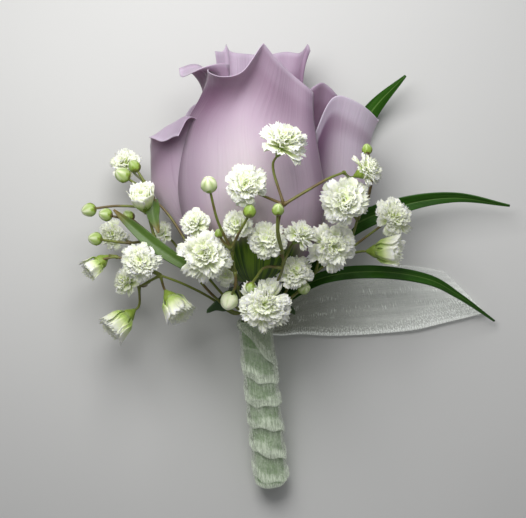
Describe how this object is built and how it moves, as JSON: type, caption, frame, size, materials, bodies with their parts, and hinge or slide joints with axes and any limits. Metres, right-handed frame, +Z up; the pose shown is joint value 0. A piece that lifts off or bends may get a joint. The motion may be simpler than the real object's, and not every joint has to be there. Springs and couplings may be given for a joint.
{
  "type": "boutonniere",
  "caption": "Boutonniere lying on its side: an opening lavender rose bud, double gypsophila sprays, narrow leaves, a taped stem handle and a sheer ribbon with one loose end.",
  "frame": {"origin": "on the table, under the middle of the outline seen from above", "axes": "+Z up from the table, +Y from the cut stems towards the rose, +X to the right as seen from above"},
  "size_m": [0.0972, 0.1008, 0.0494],
  "materials": {
    "rose_petal": "soft velvety petal, lavender with a cream tint at the middle and fine veins",
    "rose_green": "dark green hip and sepals, satin",
    "floret_white": "thin white petals, pale yellow-green in the middle",
    "spray_green": "smooth olive-green stems, pale green buds",
    "leaf_green": "glossy dark green with a lighter midrib",
    "floral_tape": "waxed crepe tape, pale green, matt",
    "organza": "sheer silvery-white organza with a satin edge"
  },
  "bodies": {
    "root": {"rose_bloom": "rose_petal", "rose_calyx": "rose_green", "floral_tape": "floral_tape", "ribbon_wrap": "organza", "ribbon_tail": "organza", "leaf_upper": "leaf_green", "leaf_right": "leaf_green", "leaf_lower": "leaf_green", "spray_middle": "spray_green", "spray_centre": "spray_green", "spray_front": "spray_green", "spray_right": "spray_green", "spray_upper_left": "spray_green", "spray_left": "spray_green", "spray_lower_left": "spray_green", "floret_top": "floret_white", "floret_upper_middle": "floret_white", "floret_left_large": "floret_white", "floret_left_behind": "floret_white", "floret_middle_pale": "floret_white", "floret_middle": "floret_white", "floret_middle_side": "floret_white", "floret_lower_middle": "floret_white", "floret_front": "floret_white", "floret_front_left": "floret_white", "floret_right_large": "floret_white", "floret_right_high": "floret_white", "floret_right_side": "floret_white", "floret_right_far": "floret_white", "floret_right_bell": "floret_white", "floret_left_top": "floret_white", "floret_left_bell": "floret_white", "floret_left_low": "floret_white", "floret_left_middle": "floret_white", "floret_left_under": "floret_white", "floret_low_bell": "floret_white", "floret_near_bell": "floret_white", "floret_left_small": "floret_white", "floret_half_open": "floret_white"}
  },
  "joints": []
}
